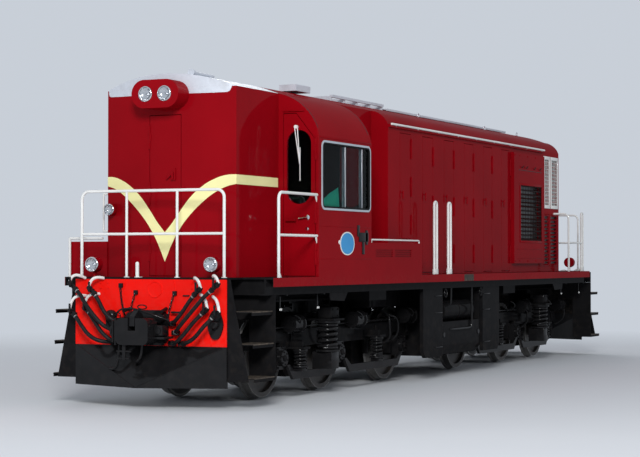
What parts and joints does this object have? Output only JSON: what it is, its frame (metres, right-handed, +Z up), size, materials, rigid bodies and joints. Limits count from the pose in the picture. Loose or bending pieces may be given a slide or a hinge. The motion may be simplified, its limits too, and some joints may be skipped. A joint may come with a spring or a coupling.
{
  "type": "narrow-gauge single-cab diesel-electric locomotive",
  "caption": "Hood-type diesel locomotive with one cab, nose hood, hinged engine doors, white handrails and two three-axle bogies.",
  "frame": {"origin": "middle of the vehicle, level with the bottom of the wheel flanges, 28 mm below the rails' top", "axes": "+X towards the front, nose end; +Y to the left side, the side seen in the picture; +Z up"},
  "size_m": [14.3, 2.7986, 3.922],
  "materials": {
    "bare_aluminium": "satin",
    "black_paint": "gloss",
    "deep_red_paint": "high gloss",
    "grey_plastic": "matt",
    "hose_rubber": "matt",
    "lamp_glass": "clear",
    "machine_grey": "painted",
    "signal_red_paint": "gloss",
    "silver_paint": "satin",
    "wheel_steel": "turned and dull",
    "white_paint": "gloss",
    "window_glass": "clear"
  },
  "bodies": {
    "root": {"underframe": "black_paint", "side_sills": "deep_red_paint", "headstocks": "signal_red_paint", "ploughs": "black_paint", "corner_steps": "black_paint", "couplers": "black_paint", "brake_hoses": "hose_rubber", "nose_hood": "deep_red_paint", "nose_roof": "silver_paint", "lamp_boxes": "deep_red_paint", "lamp_lenses": "lamp_glass", "cab_shell": "deep_red_paint", "cab_roof": "deep_red_paint", "cab_glass": "window_glass", "window_frames": "bare_aluminium", "cab_fittings": "grey_plastic", "narrow_hood": "deep_red_paint", "engine_hood": "deep_red_paint", "hood_roof": "deep_red_paint", "fixed_leaves_left": "deep_red_paint", "fixed_leaves_right": "deep_red_paint", "grilles": "deep_red_paint", "low_boxes": "deep_red_paint", "handrails": "white_paint", "fuel_tank": "black_paint", "side_lockers": "black_paint", "roof_fittings": "silver_paint", "radiator_cores": "machine_grey", "engine_block": "machine_grey"},
    "nose_door": {"nose_door": "deep_red_paint"},
    "cab_door_front": {"cab_door_front": "deep_red_paint", "cab_door_glass_front": "window_glass"},
    "cab_door_rear": {"cab_door_rear": "deep_red_paint", "cab_door_glass_rear": "window_glass"},
    "engine_door_left_1": {"engine_door_left_1": "deep_red_paint"},
    "engine_door_left_2": {"engine_door_left_2": "deep_red_paint"},
    "engine_door_left_3": {"engine_door_left_3": "deep_red_paint"},
    "engine_door_left_4": {"engine_door_left_4": "deep_red_paint"},
    "engine_door_left_5": {"engine_door_left_5": "deep_red_paint"},
    "engine_door_left_6": {"engine_door_left_6": "deep_red_paint"},
    "engine_door_right_1": {"engine_door_right_1": "deep_red_paint"},
    "engine_door_right_2": {"engine_door_right_2": "deep_red_paint"},
    "engine_door_right_3": {"engine_door_right_3": "deep_red_paint"},
    "engine_door_right_4": {"engine_door_right_4": "deep_red_paint"},
    "engine_door_right_5": {"engine_door_right_5": "deep_red_paint"},
    "engine_door_right_6": {"engine_door_right_6": "deep_red_paint"},
    "bogie_front": {"bogie_frame_front": "black_paint", "bogie_gear_front": "black_paint", "bogie_springs_front": "black_paint", "traction_motors_front": "black_paint"},
    "wheelset_front_1": {"wheelset_front_1": "wheel_steel"},
    "wheelset_front_2": {"wheelset_front_2": "wheel_steel"},
    "wheelset_front_3": {"wheelset_front_3": "wheel_steel"},
    "bogie_rear": {"bogie_frame_rear": "black_paint", "bogie_gear_rear": "black_paint", "bogie_springs_rear": "black_paint", "traction_motors_rear": "black_paint"},
    "wheelset_rear_1": {"wheelset_rear_1": "wheel_steel"},
    "wheelset_rear_2": {"wheelset_rear_2": "wheel_steel"},
    "wheelset_rear_3": {"wheelset_rear_3": "wheel_steel"}
  },
  "joints": [
    {"name": "nose_door_hinge", "type": "hinge", "parent": "root", "child": "nose_door", "pos_m": [6.40695, -0.208, 0], "axis": [0, 0, 1], "range_deg": [-32, 0]},
    {"name": "cab_door_front_hinge", "type": "hinge", "parent": "root", "child": "cab_door_front", "pos_m": [5.19, 1.344, 0], "axis": [0, 0, 1], "range_deg": [0, 90]},
    {"name": "cab_door_rear_hinge", "type": "hinge", "parent": "root", "child": "cab_door_rear", "pos_m": [3.611, -1.344, 0], "axis": [0, 0, 1], "range_deg": [0, 90]},
    {"name": "engine_door_left_1_hinge", "type": "hinge", "parent": "root", "child": "engine_door_left_1", "pos_m": [1.59467, 1.109, 0], "axis": [0, 0, 1], "range_deg": [0, 95]},
    {"name": "engine_door_left_2_hinge", "type": "hinge", "parent": "root", "child": "engine_door_left_2", "pos_m": [0.77133, 1.109, 0], "axis": [0, 0, 1], "range_deg": [0, 60]},
    {"name": "engine_door_left_3_hinge", "type": "hinge", "parent": "root", "child": "engine_door_left_3", "pos_m": [-0.052, 1.109, 0], "axis": [0, 0, 1], "range_deg": [0, 95]},
    {"name": "engine_door_left_4_hinge", "type": "hinge", "parent": "root", "child": "engine_door_left_4", "pos_m": [-0.87533, 1.109, 0], "axis": [0, 0, 1], "range_deg": [0, 95]},
    {"name": "engine_door_left_5_hinge", "type": "hinge", "parent": "root", "child": "engine_door_left_5", "pos_m": [-1.69867, 1.109, 0], "axis": [0, 0, 1], "range_deg": [0, 95]},
    {"name": "engine_door_left_6_hinge", "type": "hinge", "parent": "root", "child": "engine_door_left_6", "pos_m": [-2.522, 1.109, 0], "axis": [0, 0, 1], "range_deg": [0, 95]},
    {"name": "engine_door_right_1_hinge", "type": "hinge", "parent": "root", "child": "engine_door_right_1", "pos_m": [1.59467, -1.109, 0], "axis": [0, 0, 1], "range_deg": [-95, 0]},
    {"name": "engine_door_right_2_hinge", "type": "hinge", "parent": "root", "child": "engine_door_right_2", "pos_m": [0.77133, -1.109, 0], "axis": [0, 0, 1], "range_deg": [-60, 0]},
    {"name": "engine_door_right_3_hinge", "type": "hinge", "parent": "root", "child": "engine_door_right_3", "pos_m": [-0.052, -1.109, 0], "axis": [0, 0, 1], "range_deg": [-95, 0]},
    {"name": "engine_door_right_4_hinge", "type": "hinge", "parent": "root", "child": "engine_door_right_4", "pos_m": [-0.87533, -1.109, 0], "axis": [0, 0, 1], "range_deg": [-95, 0]},
    {"name": "engine_door_right_5_hinge", "type": "hinge", "parent": "root", "child": "engine_door_right_5", "pos_m": [-1.69867, -1.109, 0], "axis": [0, 0, 1], "range_deg": [-95, 0]},
    {"name": "engine_door_right_6_hinge", "type": "hinge", "parent": "root", "child": "engine_door_right_6", "pos_m": [-2.522, -1.109, 0], "axis": [0, 0, 1], "range_deg": [-95, 0]},
    {"name": "bogie_front_swing", "type": "hinge", "parent": "root", "child": "bogie_front", "pos_m": [2.63, 0, 1.095], "axis": [0, 0, 1], "range_deg": [-4, 4]},
    {"name": "wheelset_front_1_axle", "type": "hinge", "parent": "bogie_front", "child": "wheelset_front_1", "pos_m": [5.14, 0, 0.503], "axis": [0, 1, 0], "continuous": true},
    {"name": "wheelset_front_2_axle", "type": "hinge", "parent": "bogie_front", "child": "wheelset_front_2", "pos_m": [3.48, 0, 0.503], "axis": [0, 1, 0], "continuous": true},
    {"name": "wheelset_front_3_axle", "type": "hinge", "parent": "bogie_front", "child": "wheelset_front_3", "pos_m": [1.4, 0, 0.503], "axis": [0, 1, 0], "continuous": true},
    {"name": "bogie_rear_swing", "type": "hinge", "parent": "root", "child": "bogie_rear", "pos_m": [-2.63, 0, 1.095], "axis": [0, 0, 1], "range_deg": [-4, 4]},
    {"name": "wheelset_rear_1_axle", "type": "hinge", "parent": "bogie_rear", "child": "wheelset_rear_1", "pos_m": [-5.14, 0, 0.503], "axis": [0, 1, 0], "continuous": true},
    {"name": "wheelset_rear_2_axle", "type": "hinge", "parent": "bogie_rear", "child": "wheelset_rear_2", "pos_m": [-3.48, 0, 0.503], "axis": [0, 1, 0], "continuous": true},
    {"name": "wheelset_rear_3_axle", "type": "hinge", "parent": "bogie_rear", "child": "wheelset_rear_3", "pos_m": [-1.4, 0, 0.503], "axis": [0, 1, 0], "continuous": true}
  ]
}
